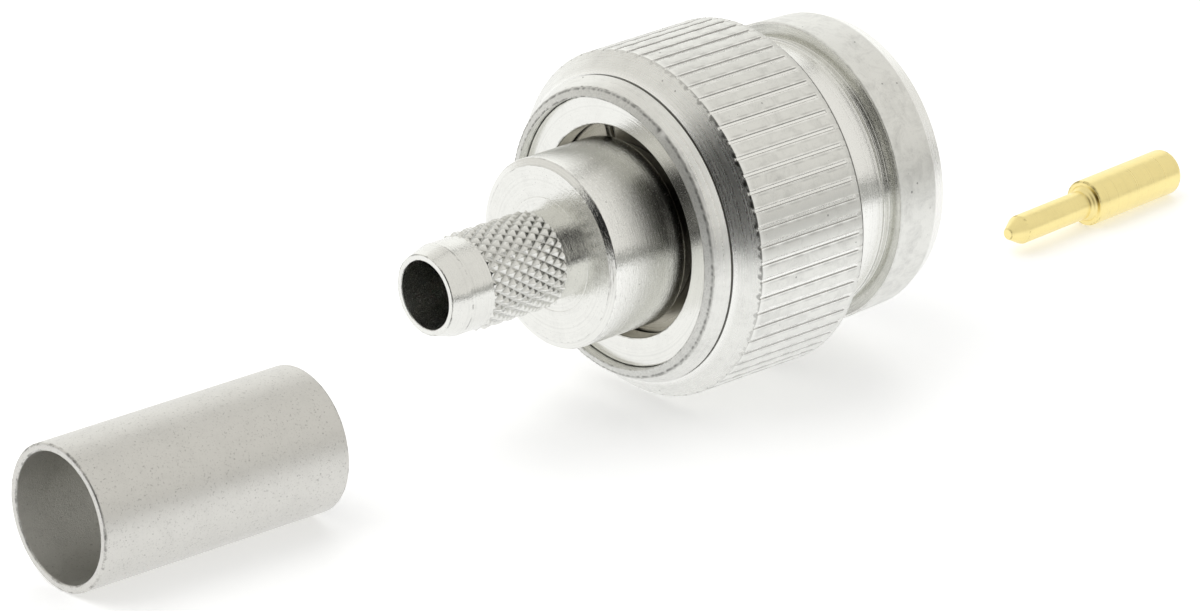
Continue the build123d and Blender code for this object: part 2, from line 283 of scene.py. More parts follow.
def axis_frame(x, y, z, turn=0.0):
    """A lying axis: its origin, the way along it, its far side and up."""
    along = np.array((np.cos(turn), np.sin(turn), 0))
    side = np.array((-np.sin(turn), np.cos(turn), 0))
    return np.array((x, y, z)), along, side, np.array((0, 0, 1))


plug_axis = axis_frame(nut_low[0], 0, axis_height)


def rounded(outline, closed=True, steps=4):
    """Rows of a profile with rounded corners, and how much of a worn edge each row is.

    Every corner becomes a circle's arc that touches both its sides: a rational curve of second degree
    whose middle weight is the sine of half the corner's angle. One more row on each side, a little way
    off, holds the flat beside it. An open profile keeps its two ends as they are.
    """
    outline = np.array(outline, float)
    corner, radius = outline[:, :2], outline[:, 2]
    back, ahead = np.roll(corner, 1, 0) - corner, np.roll(corner, -1, 0) - corner
    back_length, ahead_length = np.linalg.norm(back, axis=1), np.linalg.norm(ahead, axis=1)
    back, ahead = back / back_length[:, None], ahead / ahead_length[:, None]
    half = np.arccos(np.clip((back * ahead).sum(1), -1, 1)) / 2
    shorter = np.minimum(back_length, ahead_length)
    reach = np.minimum(radius / np.tan(half), MOST_ROUND * shorter)
    off = (reach + np.minimum(HOLD, MOST_HOLD * shorter))[:, None]
    t = np.linspace(0, 1, steps + 1)
    first, middle, last = (1 - t) ** 2, 2 * t * (1 - t) * np.sin(half)[:, None], t**2
    start, end = corner + back * reach[:, None], corner + ahead * reach[:, None]
    arc = first[:, None] * start[:, None] + middle[:, :, None] * corner[:, None]
    arc = (arc + last[:, None] * end[:, None]) / (first + middle + last)[:, :, None]
    rows = np.concatenate(((corner + back * off)[:, None], arc, (corner + ahead * off)[:, None]), 1)
    x, r = corner.T
    winding = np.sign((x * np.roll(r, -1) - np.roll(x, -1) * r).sum())
    outward = np.sign(ahead[:, 0] * back[:, 1] - ahead[:, 1] * back[:, 0]) == winding
    edge = np.zeros(rows.shape[:2])
    edge[:, 1:-1] = np.sin(np.pi * (t + 0.15) / 1.3) * outward[:, None]
    if closed:
        return rows.reshape(-1, 2), edge.reshape(-1)
    rows = np.concatenate((corner[:1], rows[1:-1].reshape(-1, 2), corner[-1:]))
    return rows, np.concatenate(((0,), edge[1:-1].reshape(-1), (0,)))


def filled(profile, spacing, start, end, above=0.0):
    """The same profile, with more rows on the steps that reach between start and end, outside a radius."""
    rows, edge = profile
    after = np.roll(rows, -1, 0)
    inside = (np.maximum(rows[:, 0], after[:, 0]) > start) & (np.minimum(rows[:, 0], after[:, 0]) < end)
    inside = inside & (np.minimum(rows[:, 1], after[:, 1]) >= above)
    parts = np.where(inside, np.ceil(np.linalg.norm(after - rows, axis=1) / spacing), 1).astype(int)
    parts = np.maximum(parts, 1)
    which = np.repeat(np.arange(len(rows)), parts)
    share = (np.arange(len(which)) - np.repeat(np.cumsum(parts) - parts, parts)) / parts[which]
    return rows[which] + (after - rows)[which] * share[:, None], edge[which] * (share == 0)


def round_angles(columns):
    """Even angles right round an axis."""
    return np.arange(columns) * TURN / columns


def bell(value, middle, width):
    """A bell: e to the power of minus the square of how many widths a value lies from the middle."""
    return np.exp(-(((value - middle) / width) ** 2))


def patch(angle, middle, width):
    """A bell round a piece, over the shorter way round from its middle."""
    return bell(np.mod(angle - middle + np.pi, TURN) - np.pi, 0, width)


def zone(rows, start, end, inner=0, outer=FAR):
    """Which rows of a profile lie between two stations and between two radii."""
    station, radius = rows.T
    return (station > start) & (station < end) & (radius > inner) & (radius < outer)


def painted(base, *coats):
    """A value for each row: the base, then each coat in turn where its rows are."""
    return reduce(lambda value, coat: np.where(coat[0], coat[1], value), coats, base)


def most(*marks):
    """The greatest of several marks at each point."""
    return reduce(np.maximum, marks)


def plain_marks(edge):
    """The marks that every metal piece has, with nothing but its worn edges."""
    return {"edge": edge, "groove": 0 * edge, "matte": 0 * edge}


def grid_faces(rows, columns, wrap_rows, wrap_columns):
    """Four corners of each cell of a grid of points, which closes on itself where it wraps."""
    i = np.arange(rows if wrap_rows else rows - 1)[:, None]
    j = np.arange(columns if wrap_columns else columns - 1)[None, :]
    i_next, j_next = (i + 1) % rows, (j + 1) % columns
    cells = (i * columns + j, i * columns + j_next, i_next * columns + j_next, i_next * columns + j)
    return np.stack(cells, -1).reshape(-1, 4)


def make_mesh(name, points, faces, marks):
    """A smooth mesh whose faces point outwards, told by the sign of its volume.

    marks holds the values that materials read at each point, such as how worn an edge is.
    """
    first, second, third, fourth = (points[faces[:, i]] for i in range(4))
    volume = (np.cross(first, second) * third).sum() + (np.cross(first, third) * fourth).sum()
    if volume < 0:
        faces = faces[:, ::-1]
    corners = [list(dict.fromkeys(face)) for face in faces.tolist()]
    mesh = bpy.data.meshes.new(name)
    mesh.from_pydata((points * MM).tolist(), [], corners)
    for mark, values in marks.items():
        layer = mesh.attributes.new(mark, "FLOAT", "POINT")
        layer.data.foreach_set("value", np.asarray(values, np.float32).reshape(-1))
    mesh.polygons.foreach_set("use_smooth", np.ones(len(mesh.polygons), bool))
    mesh.validate()
    mesh.update()
    piece = bpy.data.objects.new(name, mesh)
    bpy.context.scene.collection.objects.link(piece)
    return piece


def placed(axis, station, radius, angle):
    """Points from a station along the axis, a radius, and an angle from straight up to the far side."""
    origin, along, side, up = axis
    station, radius, angle = np.broadcast_arrays(station, radius, angle)
    sideways, upward = (radius * np.sin(angle))[..., None] * side, (radius * np.cos(angle))[..., None] * up
    return origin + station[..., None] * along + sideways + upward


def turned(name, axis, profile, angle, depth=0, marks=None):
    """A closed profile turned right round an axis: each row is a circle, less the depth cut there."""
    rows, edge = profile
    radius = np.broadcast_to(rows[:, 1][:, None] - depth, (len(rows), len(angle)))
    points = placed(axis, rows[:, 0][:, None], radius, angle).reshape(-1, 3)
    held = {**plain_marks(edge), **(marks or {})}
    for key, value in held.items():
        held[key] = np.broadcast_to(value if np.ndim(value) == 2 else value[:, None], radius.shape)
    return make_mesh(name, points, grid_faces(*radius.shape, True, True), held)


def turned_to_axis(name, axis, profile, angle, marks):
    """An open profile whose two ends lie on the axis, turned round it: the ends become single points.

    marks are for the rows between the ends, and the two points have none.
    """
    rows, edge = profile
    columns = len(angle)
    ring = placed(axis, rows[1:-1, 0][:, None], rows[1:-1, 1][:, None], angle).reshape(-1, 3)
    poles = placed(axis, rows[[0, -1], 0], rows[[0, -1], 1], 0.0)
    faces = grid_faces(len(rows) - 2, columns, False, True)
    here, after = np.arange(columns), (np.arange(columns) + 1) % columns
    front, back, last = len(ring), len(ring) + 1, (len(rows) - 3) * columns
    tip = np.stack((np.full(columns, front), after, here, here), -1)
    end = np.stack((np.full(columns, back), last + here, last + after, last + after), -1)
    held = {**plain_marks(edge[1:-1, None] + 0 * angle), **marks}
    held = {key: np.concatenate((value.reshape(-1), (0, 0))) for key, value in held.items()}
    return make_mesh(name, np.concatenate((ring, poles)), np.concatenate((faces, tip, end)), held)


def turned_sector(axis, profile, start, end, columns):
    """A closed profile swung from one angle to another, its two ends closed by strips across it."""
    rows, edge = profile
    angle = np.linspace(start, end, columns)
    points = placed(axis, rows[:, 0][:, None], rows[:, 1][:, None], angle).reshape(-1, 3)
    faces = grid_faces(len(rows), columns, True, False)
    near = np.arange(len(rows) // 2 - 1)
    far = len(rows) - 1 - near
    cap = np.stack((near, near + 1, far - 1, far), -1) * columns
    return points, np.concatenate((faces, cap, cap[:, ::-1] + columns - 1)), np.repeat(edge, columns)


# Materials


def feed(tree, sockets, **inputs):
    """Gives sockets their values: a socket to link, or a plain value. i3 means the socket at place 3."""
    for key, value in inputs.items():
        socket = sockets[int(key[1:]) if key[0] == "i" and key[1:].isdigit() else key.replace("_", " ")]
        if isinstance(value, bpy.types.NodeSocket):
            tree.links.new(value, socket)
        else:
            socket.default_value = value


def add(tree, kind, settings=None, **inputs):
    """A shader node with its settings and inputs."""
    node = tree.nodes.new("ShaderNode" + kind)
    for key, value in (settings or {}).items():
        setattr(node, key, value)
    feed(tree, node.inputs, **inputs)
    return node


def maths(tree, operation, first, second=0.0, third=0.0, clamp=False):
    """One step of arithmetic, as a socket."""
    settings = {"operation": operation, "use_clamp": clamp}
    return add(tree, "Math", settings, i0=first, i1=second, i2=third).outputs[0]


def plus(tree, *values):
    """Values added up, as a socket."""
    return reduce(lambda first, second: maths(tree, "ADD", first, second), values)


def times(tree, *values):
    """Values multiplied, as a socket."""
    return reduce(lambda first, second: maths(tree, "MULTIPLY", first, second), values)


def greatest(tree, *values):
    """The greatest of some values, as a socket."""
    return reduce(lambda first, second: maths(tree, "MAXIMUM", first, second), values)


def faded(tree, value, low, high):
    """0 below low, 1 above high and straight between, as a socket."""
    return add(tree, "MapRange", None, i0=value, i1=low, i2=high).outputs[0]


def mixed(tree, share, first, second):
    """Two colours mixed by a share, as a socket."""
    return add(tree, "Mix", {"data_type": "RGBA"}, i0=share, i6=first, i7=second).outputs[2]


def noise(tree, vector, scale, detail, roughness=0.5, distortion=0.0, dimensions="3D"):
    """Noise about 0.5, as a socket."""
    settings = {"noise_dimensions": dimensions}
    node = add(tree, "TexNoise", settings, Vector=vector, Scale=scale, Detail=detail, Roughness=roughness)
    feed(tree, node.inputs, Distortion=distortion)
    return node.outputs[0]


def opaque(rgb, level=1.0):
    """A colour at a level of its brightness, with full alpha."""
    return (*(level * part for part in rgb), 1.0)


def new_group(name, inputs, outputs):
    """An empty node group with float inputs by name, a vector first, and its float outputs."""
    tree = bpy.data.node_groups.new(name, "ShaderNodeTree")
    tree.interface.new_socket(name="Vector", in_out="INPUT", socket_type="NodeSocketVector")
    for key, value in inputs.items():
        socket = tree.interface.new_socket(name=key, in_out="INPUT", socket_type="NodeSocketFloat")
        socket.default_value = value
    for key in outputs:
        tree.interface.new_socket(name=key, in_out="OUTPUT", socket_type="NodeSocketFloat")
    return tree, tree.nodes.new("NodeGroupInput").outputs, tree.nodes.new("NodeGroupOutput").inputs


def turning_group():
    """Fine rings left by a lathe: noise on station and radius, and short lines drawn out round the axis."""
    tree, given, out = new_group("turning_marks", {"Density": 9.0}, ("Height", "Streak", "Lines"))
    split = add(tree, "SeparateXYZ", None, Vector=given["Vector"]).outputs
    squares = plus(tree, maths(tree, "POWER", split[1], 2.0), maths(tree, "POWER", split[2], 2.0))
    place = add(tree, "CombineXYZ", None, X=split[0], Y=maths(tree, "SQRT", squares)).outputs[0]
    fine = noise(tree, place, given["Density"], 4.0, 0.7, dimensions="2D")
    wide = noise(tree, given["Vector"], 0.35, 1.0)
    stretch = (1.0, 0.22, 0.22)
    slow = add(tree, "VectorMath", {"operation": "MULTIPLY"}, i0=given["Vector"], i1=stretch).outputs[0]
    lines = noise(tree, slow, times(tree, given["Density"], 2.2), 3.0, 0.7)
    streak = times(tree, maths(tree, "SUBTRACT", fine, 0.5), plus(tree, wide, 0.3))
    feed(tree, out, Height=fine, Streak=streak, Lines=lines)


def lengthwise_group():
    """Marks drawn along the axis: noise on the angle, stretched along the station."""
    inputs = {"Density": 14.0, "Stretch": 0.12}
    tree, given, out = new_group("lengthwise_marks", inputs, ("Height", "Streak"))
    split = add(tree, "SeparateXYZ", None, Vector=given["Vector"]).outputs
    across = add(tree, "CombineXYZ", None, Y=split[1], Z=split[2]).outputs[0]
    unit = add(tree, "VectorMath", {"operation": "NORMALIZE"}, i0=across).outputs[0]
    turn = add(tree, "SeparateXYZ", None, Vector=unit).outputs
    along = times(tree, split[0], given["Stretch"])
    place = add(tree, "CombineXYZ", None, X=along, Y=turn[1], Z=turn[2]).outputs[0]
    fine = noise(tree, place, given["Density"], 3.0, 0.65)
    feed(tree, out, Height=fine, Streak=maths(tree, "SUBTRACT", fine, 0.5))


def grain_group():
    """Satin grain of plated metal: two sizes of fine noise."""
    tree, given, out = new_group("satin_grain", {"Grains": 14.0}, ("Height", "Speckle"))
    coarse = noise(tree, given["Vector"], given["Grains"], 2.0, 0.8)
    fine = noise(tree, given["Vector"], times(tree, given["Grains"], 3.1), 1.0)
    both = plus(tree, times(tree, coarse, 0.5), times(tree, fine, 0.5))
    feed(tree, out, Height=both, Speckle=faded(tree, coarse, 0.58, 0.75))


def wear_group():
    """Wear and dirt: broken marks along worn edges, dark specks of many sizes, and faint smudges."""
    inputs = {"Edge": 0.0, "Specks": 0.5}
    tree, given, out = new_group("wear", inputs, ("Worn", "Specks", "Smudge"))
    broken = noise(tree, given["Vector"], 2.3, 5.0, 0.7)
    worn = times(tree, given["Edge"], faded(tree, broken, 0.47, 0.62))
    cells = add(tree, "TexVoronoi", {"feature": "F1"}, Vector=given["Vector"], Scale=2.6).outputs
    chance = add(tree, "SeparateColor", None, Color=cells["Color"]).outputs[0]
    size = times(tree, maths(tree, "POWER", chance, 6.0), 0.2)
    speck = maths(tree, "LESS_THAN", cells["Distance"], times(tree, size, given["Specks"]))
    smear = noise(tree, given["Vector"], 0.9, 6.0, 0.75, 0.6)
    feed(tree, out, Worn=worn, Specks=speck, Smudge=faded(tree, smear, 0.48, 0.68))


def new_material(name, axis=plug_axis, **base):
    """A material with one Principled shader, and coordinates in millimetres about a piece's own axis."""
    material = bpy.data.materials.new(name)
    material.use_nodes = True
    tree = material.node_tree
    tree.nodes.clear()
    shader = add(tree, "BsdfPrincipled", None, **base)
    add(tree, "OutputMaterial", None, Surface=shader.outputs[0])
    origin, along, _, _ = axis
    vector = add(tree, "TexCoord").outputs["Object"]
    mapping = add(tree, "Mapping", {"vector_type": "TEXTURE"}, Vector=vector, Location=origin * MM)
    feed(tree, mapping.inputs, Rotation=(0, 0, np.arctan2(along[1], along[0])), Scale=(MM, MM, MM))
    return material, tree, shader, mapping.outputs[0]


def placed_group(tree, name, vector, **inputs):
    """A shared group in a material, with this material's values."""
    node = tree.nodes.new("ShaderNodeGroup")
    node.node_tree = bpy.data.node_groups[name]
    feed(tree, node.inputs, Vector=vector, **inputs)
    return node.outputs


def point_mark(tree, name):
    """A value kept at each point of a piece, such as edge or groove."""
    return add(tree, "Attribute", {"attribute_name": name}).outputs["Fac"]


def raised(tree, height, strength, distance):
    """A relief of some height in metres, as a socket for Normal."""
    return add(tree, "Bump", None, Height=height, Strength=strength, Distance=distance).outputs[0]


def plated_metal(
    name, rgb, dark, axis=plug_axis, roughness=0.3, turning=0.0, lengthwise=0.0, grain=0.3,
    specks=0.5, density=9.0, grains=14.0, lines=0.0,
):
    """Plated metal: lathe marks, drawn marks, grain, worn edges, specks, painted shade and painted
    highlights.
    """
    material, tree, shader, vector = new_material(name, axis, Metallic=1.0)
    rings = placed_group(tree, "turning_marks", vector, Density=density)
    drawn = placed_group(tree, "lengthwise_marks", vector)
    satin = placed_group(tree, "satin_grain", vector, Grains=grains)
    worn = placed_group(tree, "wear", vector, Edge=point_mark(tree, "edge"), Specks=specks)
    matte = point_mark(tree, "matte")
    plain = times(tree, maths(tree, "SUBTRACT", 1.0, matte), turning)
    shade = plus(tree, times(tree, rings["Streak"], plain), times(tree, drawn["Streak"], lengthwise))
    film = maths(tree, "SUBTRACT", times(tree, satin["Speckle"], 0.3 * grain), shade, clamp=True)
    smudged = times(tree, worn["Smudge"], plus(tree, times(tree, matte, 0.2), 0.05))
    torn = times(tree, faded(tree, matte, 0.75, 1.0), faded(tree, satin["Height"], 0.42, 0.6), 0.25)
    dirty = times(tree, greatest(tree, worn["Worn"], worn["Specks"]), 0.6)
    # Real film, smudges, torn patches, worn edges and specks, with the painted shade of the groove mark
    soiled_and_shaded = greatest(tree, plus(tree, film, smudged), torn, point_mark(tree, "groove"), dirty)
    finish = bpy.context.scene.plug_finishes
    metal = mixed(tree, soiled_and_shaded, opaque(rgb), opaque(dark))
    # The polish mark paints highlights towards a near-white
    shown = mixed(tree, point_mark(tree, "polish_and_highlight"), metal, opaque(finish.polished_and_highlight))
    rough = plus(
        tree,
        roughness,
        times(tree, satin["Speckle"], 0.3),
        times(tree, rings["Streak"], times(tree, plain, 0.7)),
        times(tree, worn["Worn"], 0.2),
        times(tree, matte, 0.2),
    )
    relief = plus(
        tree,
        times(tree, rings["Height"], plain),
        times(tree, drawn["Height"], lengthwise),
        times(tree, satin["Height"], plus(tree, matte, grain)),
        times(tree, rings["Lines"], lines),
    )
    feed(tree, shader.inputs, Base_Color=shown, Roughness=rough, Normal=raised(tree, relief, RELIEF, DEPTH))
    return material


def dull_material(name, rgb, speck_level, grains, rings, strength, distance, **base):
    """Plastic or rubber with specks of its own colour at another level, and a relief of grain, or of
    lathe rings where their density is given."""
    material, tree, shader, vector = new_material(name, **base)
    grain = placed_group(tree, "satin_grain", vector, Grains=grains)
    shade = mixed(tree, grain["Speckle"], opaque(rgb), opaque(rgb, speck_level))
    marks = placed_group(tree, "turning_marks", vector, Density=rings) if rings else grain
    feed(tree, shader.inputs, Base_Color=shade, Normal=raised(tree, marks["Height"], strength, distance))
    return material


def dress(piece, material, body, slot, *nodes):
    """Gives a piece its material and its body, and hides the CAD nodes it stands for. The slot is not used.
    """
    piece.data.materials.append(material)
    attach(piece, body)
    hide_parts(*nodes)


# Pieces


class PLUG_OT_groups(bpy.types.Operator):
    """Makes the node groups that the materials share"""

    bl_idname = "plug.groups"
    bl_label = "Shared finishes"

    def execute(self, context):
        for make in (turning_group, lengthwise_group, grain_group, wear_group):
            make()
        return {"FINISHED"}


def nut_stations(s):
    """Where each part of the nut starts along its axis."""
    at = SimpleNamespace(boss=s.lip_length, ribs=s.lip_length + s.bevel_length)
    at.collar = at.ribs + s.rib_length
    at.neck = at.collar + s.collar_length
    at.ridge = at.neck + s.neck_length
    at.undercut = at.ridge + s.ridge_length
    at.flange = at.undercut + s.ridge_length
    at.nose = at.flange + s.flange_length
    at.front = nut_high[0] - nut_low[0]
    at.chamber = stations("retaining_washer")[1]
    at.shoulder = at.ribs + s.shoulder_start
    at.relief = at.shoulder + s.shoulder_length
    at.thread = at.relief + s.relief_length
    return at


def nut_core(s, at):
    """The nut but for its ribbed band and thread: one closed profile, with a torn and nicked rear rim."""
    core_radius = s.boss_radius - BAND_DEPTH
    sunk_radius = s.boss_radius - 0.075
    ridge_radius = s.neck_radius + s.ridge_rise
    thread_seat = s.thread_major + 0.06
    outline = (
        (0, s.lip_bore, 0.05),
        (s.lip_slope, s.lip_radius, 0.10),
        (at.boss - 0.09, s.boss_radius - 0.04, 0.02),
        (at.boss - 0.07, sunk_radius, 0.01),
        (at.boss + 0.03, sunk_radius, 0.01),
        (at.boss + 0.04, core_radius, 0.01),
        (at.collar - 0.04, core_radius, 0.02),
        (at.collar - 0.02, s.collar_radius, 0.02),
        (at.neck - 0.06, s.collar_radius, 0.005),
        (at.neck, s.collar_radius, 0.04),
        (at.neck, s.neck_radius, 0.04),
        (at.ridge, s.neck_radius, 0.03),
        (at.ridge + 0.04, ridge_radius, 0.04),
        (at.undercut, ridge_radius, 0.04),
        (at.undercut, s.undercut_radius, 0.04),
        (at.flange, s.undercut_radius, 0.04),
        (at.flange, s.flange_radius, 0.09),
        (at.nose, s.flange_front, 0.10),
        (at.front, s.nose_radius, 0.08),
        (at.front, thread_seat, 0.02),
        (at.thread, thread_seat, 0.02),
        (at.thread, s.relief_radius, 0.04),
        (at.relief, s.relief_radius, 0.04),
        (at.relief, s.shoulder_radius, 0.06),
        (at.shoulder, s.shoulder_radius, 0.06),
        (at.shoulder, s.chamber_radius, 0.06),
        (at.chamber, s.chamber_radius, 0.05),
        (at.chamber, s.lip_bore, 0.05),
    )
    rows, edge = filled(rounded(outline), spacing=0.05, start=0, end=at.boss - 0.1, above=s.lip_bore + 0.02)
    station, radius = rows.T
    lip = zone(rows, -FAR, s.lip_slope + 0.03, s.lip_bore + 0.02)
    on_neck = zone(rows, at.neck - 0.01, at.ridge + 0.01, s.thread_major + 0.1, s.neck_radius + 0.1)
    matte = painted(
        0.2,
        (lip, 1.0),
        (zone(rows, at.flange, at.nose - 0.02, s.undercut_radius), 0.6),
        (zone(rows, at.nose - 0.02, FAR, s.thread_major), 0.0),
        (on_neck, -0.25),
        (zone(rows, at.ridge, at.flange + 0.01, s.thread_major), -0.4),
    )
    # Painted shade: the chamber inside the lip, a dark line at the collar's front edge, one at the ridge and
    # one at the foot of the bevel
    dark = painted(
        0.0,
        (zone(rows, at.chamber - 0.01, at.shoulder + 0.01, 0, s.lip_bore), 1.0),
        (zone(rows, at.neck - 0.07, at.neck + 0.01, s.neck_radius + 0.5), 0.75),
        (zone(rows, at.ridge - 0.05, at.ridge + 0.02, 0, s.neck_radius + 0.05), 0.4),
        (zone(rows, at.boss - 0.085, at.boss + 0.035, core_radius, s.boss_radius - 0.05), 0.9),
    )[:, None]
    # Painted highlight along the neck, and the front rim painted lighter
    polish_and_highlight = 0.85 * on_neck + 0.6 * zone(rows, at.nose - 0.02, FAR, s.nose_radius)
    edge = np.where(station > at.neck, 0.3 * edge, edge)
    # The lip's rim is torn: its radius falls and rises a little round the nut
    angle = round_angles(NUT_COLUMNS)
    torn = np.sin(61 * angle) * np.sin(37 * angle + 1) + 0.6 * np.sin(113 * angle + 2) * np.sin(23 * angle)
    torn = np.abs(torn)
    rim = bell(station, s.lip_slope, 0.09) * (radius > s.lip_bore + 0.1)
    depth = 0.03 * rim[:, None] * torn
    # Painted shade along the lip's outer border, jagged with the torn rim
    border = bell(radius, s.lip_radius - 0.07, 0.055) * lip
    dark = most(dark, 0.75 * border[:, None] * np.clip(0.3 + torn, 0, 1))
    # One nick in the rim has turned up a bright burr, with a dark pit beside it
    rim_near = (bell(station, 0.19, 0.07) * lip)[:, None]
    burr = rim_near * patch(angle, -0.54, 0.018)
    pit = rim_near * patch(angle, -0.497, 0.012)
    on_boss = zone(rows, s.lip_slope, at.boss - 0.1, s.lip_radius - 0.05)[:, None]
    # The boss gets a painted highlight on the camera's side
    marks = {
        "matte": matte,
        "groove": most(dark * (1 - burr), pit),
        "polish_and_highlight": most(polish_and_highlight[:, None], 0.55 * on_boss * patch(angle, -0.98, 0.35), burr),
    }
    return turned("coupling_nut", plug_axis, (rows, edge), angle, depth, marks)


def ribbed_band(s, at):
    """The band of straight ribs and the bevel behind it: a closed profile, cut by a groove at each rib."""
    core_radius = s.boss_radius - BAND_DEPTH
    crest = crest_radius - CREST_DROP
    groove_end = at.collar - s.groove_stop
    # Across one rib the points crowd where the groove's flanks and rolled edges are
    pitch = TURN * crest_radius / s.rib_count
    half = np.array((0, 0.04, 0.055, 0.075, 0.095, 0.115, 0.14, 0.18, 0.26))
    offset = np.concatenate((-half[:0:-1], half, (pitch / 2,)))
    angle = (np.arange(s.rib_count)[:, None] * pitch + offset).reshape(-1) / crest_radius
    across = np.abs(np.tile(offset, s.rib_count))
    mouth, floor = s.groove_mouth / 2, s.groove_floor / 2
    flank = np.clip((mouth - across) / (mouth - floor), 0, 1)
    rolled = bell(across, mouth + 0.02, 0.022) * 0.03
    dome = s.crest_dome * bell(across, mouth, 0.09) * (across > mouth)
    outline = (
        (at.boss, s.boss_radius, 0.02),
        (at.ribs, crest, 0.07),
        (at.collar, crest, 0.05),
        (at.collar, core_radius + 0.3, 0.02),
        (at.collar - 0.1, core_radius - 0.1, 0.02),
        (at.boss, core_radius - 0.1, 0.02),
    )
    # Rows lie closest where the grooves begin on the bevel and where they run out
    profile = rounded(outline)
    for spacing, start, end, above in (
        (0.2, at.ribs + 0.1, at.collar - 0.06, crest_radius - 0.02),
        (0.3, at.boss, at.ribs, s.boss_radius),
        (0.04, at.ribs - 0.25, at.ribs, s.boss_radius + 0.3),
        (0.04, groove_end - 0.12, groove_end, crest_radius - 0.02),
    ):
        profile = filled(profile, spacing, start, end, above)
    rows, edge = profile
    station, radius = rows[:, :1], rows[:, 1:]
    # The grooves run out over the last 0.1 mm, and their rolled edges are broken here and there
    reach = 1 - np.clip((station - (groove_end - 0.1)) / 0.1, 0, 1)
    which = np.repeat(np.arange(s.rib_count), len(offset)) + 0.4 * np.tile(np.sign(offset), s.rib_count)
    broken = 0.55 + np.sin(9.7 * station + 2.4 * which) * np.sin(14.3 * station + 4.1 * which)
    broken = np.clip(broken, 0.1, 1.1)
    cut = s.rib_depth * flank * reach**2 * (3 - 2 * reach) + dome - rolled * broken * reach
    # Outside, the surface is the lower of the profile and the cut crest, joined softly
    soft = 0.015
    under = -soft * np.logaddexp(-radius / soft, -(crest - cut) / soft)
    share = np.clip((radius - s.collar_radius) / (crest - s.collar_radius), 0, 1)
    at_face = station > at.collar - 0.06
    outer = radius > core_radius
    depth = np.where(outer, radius - np.where(at_face, radius - cut * share, under), 0)
    on_crest = (station > at.ribs - 0.02) & outer
    on_ribs = (station > at.ribs) & (station < groove_end) & outer
    on_bevel = (station < at.ribs - 0.01) & outer
    plain_end = (station > groove_end + 0.01) & outer
    # Painted shade on one wall of each groove more than the other, by the angle round the nut, with a broken
    # line of it on the crest beside
    one_way = np.clip(0.5 + 3 * np.cos(angle + 2.44), 0.25, 1)
    wall_shade = np.where(np.tile(offset < 0, s.rib_count), one_way, 1.25 - one_way)
    wall = 0.75 * wall_shade * bell(across, (mouth + floor) / 2, 0.024) * (depth > 0.02)
    crest_shade = 0.3 * bell(across, 0.175, 0.028) * wall_shade * on_ribs * np.clip(1.3 - broken, 0, 1)
    # The bevel's rim is nibbled where the ribs begin: dark teeth, darkened much more on the camera's side by
    # painted shade
    teeth = np.abs(0.75 * np.sin(76 * angle) + 0.45 * np.sin(29 * angle + 1))
    bitten = np.clip((station - at.ribs + 0.04 + 0.12 * teeth) / 0.03, 0, 1) * on_bevel
    bitten = bitten * (0.1 + 0.8 * patch(angle, -1.1, 0.7))
    # Painted shade in a narrow patch of the crests on the camera's side; painted highlights on the rolled
    # edges, the groove floors, the band's rims and low on the camera's side
    shaded_side = 0.1 * patch(angle, -1.36, 0.14) * on_crest
    bright = bell(across, mouth + 0.02, 0.028) * (0.3 + 0.7 * broken) + (across < floor - 0.01)
    bright = np.clip(bright, 0, 1) * reach * on_crest
    rims = bell(station, at.ribs + 0.04, 0.04) * on_crest + (station < at.boss + 0.03) * outer
    bright_side = 0.4 * patch(angle, -2.3, 0.4) * on_crest
    marks = {
        "groove": most(wall, crest_shade, bitten, 0.1 * plain_end, shaded_side),
        "edge": edge[:, None] * (depth < 0.05) * 0.6,
        "matte": np.where(on_crest, 0.6 * np.clip((across - mouth - 0.03) / 0.05, 0, 1), 0.05),
        "polish_and_highlight": np.clip(most(bright, 0.8 * rims, bright_side), 0, 1),
    }
    return turned("ribbed_band", plug_axis, (rows, edge), angle, depth, marks)


def nut_thread(s, at):
    """The inner thread: a flattened triangle wave of the station less the angle's share of a pitch."""
    angle = round_angles(HIDDEN_COLUMNS)
    rows_per_pitch = 14
    row_count = round((at.front - at.thread) / s.thread_pitch * rows_per_pitch)
    station = np.linspace(at.thread, at.front - 0.01, row_count)
    phase = (station[:, None] / s.thread_pitch - angle / TURN) % 1
    wave = np.clip(np.abs(phase - 0.5) * 2.6 - 0.25, 0, 1)
    lead = s.thread_major + 0.02 - (at.front - station)[:, None]
    inner = most(s.thread_minor + (s.thread_major - s.thread_minor) * wave, lead)
    rings = np.concatenate((inner, np.full((2, len(angle)), s.thread_major + 0.12)))
    along = np.concatenate((station, station[[-1, 0]] + (-0.02, 0.02)))
    points = placed(plug_axis, along[:, None], rings, angle).reshape(-1, 3)
    # Painted shade at the thread's roots
    groove = np.concatenate((wave * 0.35, np.zeros((2, len(angle)))))
    marks = {**plain_marks(0 * groove), "groove": groove}
    return make_mesh("nut_thread", points, grid_faces(*rings.shape, True, True), marks)


class PLUG_OT_coupling_nut(bpy.types.Operator):
    """Builds the coupling nut: a turned core, the ribbed band round it and the thread inside"""

    bl_idname = "plug.coupling_nut"
    bl_label = "Coupling nut"

    def execute(self, context):
        s = in_millimetres(context.scene.plug_nut)
        finish = context.scene.plug_finishes
        metal = plated_metal(
            "nickel_nut", finish.nickel, finish.tarnish_and_shade, roughness=0.27, turning=0.5, lengthwise=0.3,
            grain=0.35, specks=0.8, lines=0.3,
        )
        for make in (nut_core, ribbed_band, nut_thread):
            dress(make(s, nut_stations(s)), metal, "nut", "nickel_nut", "coupling_nut")
        return {"FINISHED"}


